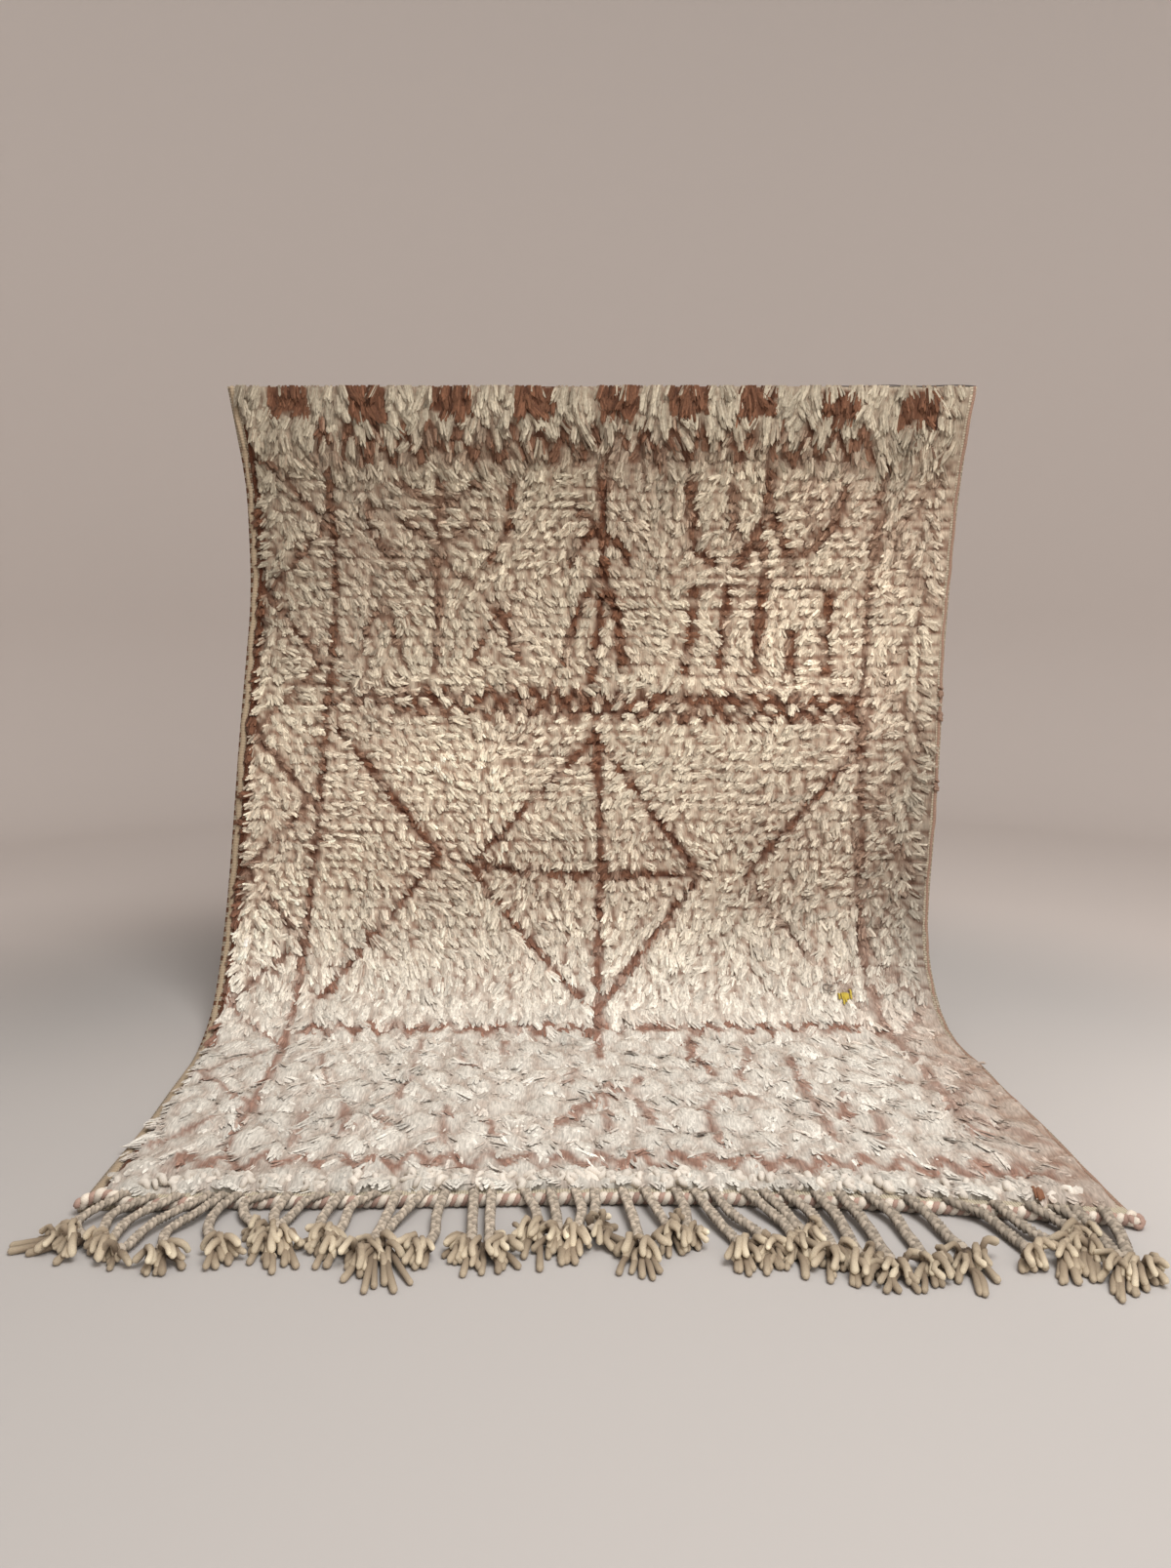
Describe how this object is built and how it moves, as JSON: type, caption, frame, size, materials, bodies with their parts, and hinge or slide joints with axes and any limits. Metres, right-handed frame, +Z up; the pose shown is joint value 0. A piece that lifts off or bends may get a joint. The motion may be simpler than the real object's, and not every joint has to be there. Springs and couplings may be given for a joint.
{
  "type": "hung pile rug with plaited fringe",
  "caption": "Knotted wool pile rug hung by its top end and drawn forward over the floor, with a twined front edge and a plaited fringe with tassels.",
  "frame": {"origin": "middle of the rug's top end, on the middle line of its woven ground", "axes": "+X along the top end to the viewer's right, +Z up, the pile faces -Y; the floor is at Z = -1.32"},
  "size_m": [1.5817, 1.2133, 1.3205],
  "materials": {
    "pile": "matte knotted wool pile, cream with brown figures",
    "braid": "matte plaited wool yarn"
  },
  "bodies": {
    "root": {"rug": "pile", "fringe": "braid"}
  },
  "joints": []
}
